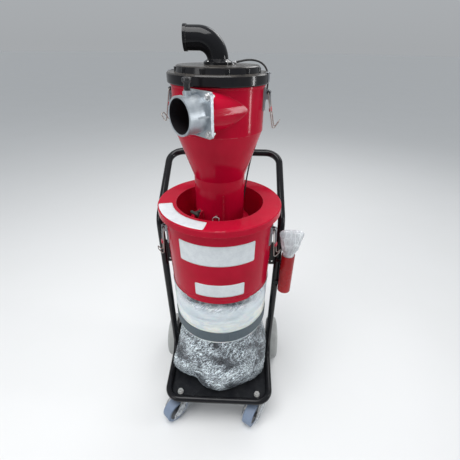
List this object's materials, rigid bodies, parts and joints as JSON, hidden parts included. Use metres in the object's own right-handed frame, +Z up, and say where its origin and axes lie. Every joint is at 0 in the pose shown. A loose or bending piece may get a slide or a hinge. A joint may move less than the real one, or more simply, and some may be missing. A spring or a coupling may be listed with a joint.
{
  "type": "wheeled cyclone separator",
  "caption": "Red cyclone dust separator on a drum with a hanging bag store, carried by a black bent-tube trolley with rear wheels and swivel casters.",
  "frame": {"origin": "on the floor, at the middle of the trolley's box in plan", "axes": "+Z up, the front bar and the casters towards -Y, the lever latches along X"},
  "size_m": [0.5544, 0.5732, 1.371],
  "materials": {
    "bag_film": "gloss",
    "black_lid": "gloss",
    "black_paint": "gloss",
    "black_plastic": "gloss",
    "cast_aluminium": "cast",
    "caster_core": "matte",
    "caster_tyre": "matte",
    "holder_red": "gloss",
    "lead_sheath": "satin",
    "red_paint": "gloss",
    "strap_grey": "woven",
    "wheel_rim": "matte",
    "wheel_tyre": "matte",
    "wrap_film": "gloss",
    "zinc": "satin"
  },
  "bodies": {
    "trolley": {"bag_store": "bag_film", "bag_strap": "strap_grey", "caster_left_mount": "zinc", "caster_right_mount": "zinc", "clamp_grip": "black_plastic", "cyclone_body": "red_paint", "cyclone_cone": "red_paint", "drum_bracket_left": "black_paint", "drum_bracket_right": "black_paint", "drum_latch_left": "zinc", "drum_latch_right": "zinc", "drum_shell": "red_paint", "earth_lead": "lead_sheath", "frame_tube": "black_paint", "holder_bag": "bag_film", "holder_bracket": "black_paint", "inlet_duct": "red_paint", "inlet_knob": "black_plastic", "inlet_spout": "cast_aluminium", "lid": "black_lid", "lid_latch_left": "zinc", "lid_latch_right": "zinc", "neck_clamp": "red_paint", "outlet_elbow": "black_plastic", "rear_axle": "zinc", "recess_pan": "red_paint", "ring_pin": "zinc", "tray_plate": "black_paint", "tube_holder": "holder_red", "vortex_tube": "black_plastic", "wrapped_bundle": "wrap_film"},
    "caster_left_swivel": {"caster_left_fork": "zinc"},
    "caster_left_wheel": {"caster_left_core": "caster_core", "caster_left_tyre": "caster_tyre"},
    "rear_wheel_left": {"rear_wheel_left_rim": "wheel_rim", "rear_wheel_left_tyre": "wheel_tyre"},
    "caster_right_swivel": {"caster_right_fork": "zinc"},
    "caster_right_wheel": {"caster_right_core": "caster_core", "caster_right_tyre": "caster_tyre"},
    "rear_wheel_right": {"rear_wheel_right_rim": "wheel_rim", "rear_wheel_right_tyre": "wheel_tyre"},
    "lid_bail_left": {"lid_bail_left": "zinc"},
    "lid_bail_right": {"lid_bail_right": "zinc"},
    "drum_bail_left": {"drum_bail_left": "zinc"},
    "drum_bail_right": {"drum_bail_right": "zinc"}
  },
  "joints": [
    {"name": "caster_left_turn", "type": "hinge", "parent": "trolley", "child": "caster_left_swivel", "pos_m": [-0.16284, -0.20509, 0.108], "axis": [0, 0, 1], "continuous": true},
    {"name": "caster_left_roll", "type": "hinge", "parent": "caster_left_swivel", "child": "caster_left_wheel", "pos_m": [-0.18559, -0.23036, 0.05], "axis": [0.7431, -0.6691, 0], "continuous": true},
    {"name": "rear_wheel_left_roll", "type": "hinge", "parent": "trolley", "child": "rear_wheel_left", "pos_m": [-0.24584, 0.11591, 0.1], "axis": [1, 0, 0], "continuous": true},
    {"name": "caster_right_turn", "type": "hinge", "parent": "trolley", "child": "caster_right_swivel", "pos_m": [0.15116, -0.20509, 0.108], "axis": [0, 0, 1], "continuous": true},
    {"name": "caster_right_roll", "type": "hinge", "parent": "caster_right_swivel", "child": "caster_right_wheel", "pos_m": [0.13416, -0.23454, 0.05], "axis": [0.866, -0.5, 0], "continuous": true},
    {"name": "rear_wheel_right_roll", "type": "hinge", "parent": "trolley", "child": "rear_wheel_right", "pos_m": [0.23416, 0.11591, 0.1], "axis": [1, 0, 0], "continuous": true},
    {"name": "lid_bail_left_swing", "type": "hinge", "parent": "trolley", "child": "lid_bail_left", "pos_m": [-0.13887, 0.03218, 1.227], "axis": [0.2079, 0.9781, 0], "range_deg": [0, 60]},
    {"name": "lid_bail_right_swing", "type": "hinge", "parent": "trolley", "child": "lid_bail_right", "pos_m": [0.12719, -0.02437, 1.227], "axis": [-0.2079, -0.9781, 0], "range_deg": [0, 60]},
    {"name": "drum_bail_left_swing", "type": "hinge", "parent": "trolley", "child": "drum_bail_left", "pos_m": [-0.18635, -0.06179, 0.838], "axis": [-0.342, 0.9397, 0], "range_deg": [0, 60]},
    {"name": "drum_bail_right_swing", "type": "hinge", "parent": "trolley", "child": "drum_bail_right", "pos_m": [0.17467, -0.06179, 0.838], "axis": [-0.342, -0.9397, 0], "range_deg": [0, 60]}
  ]
}
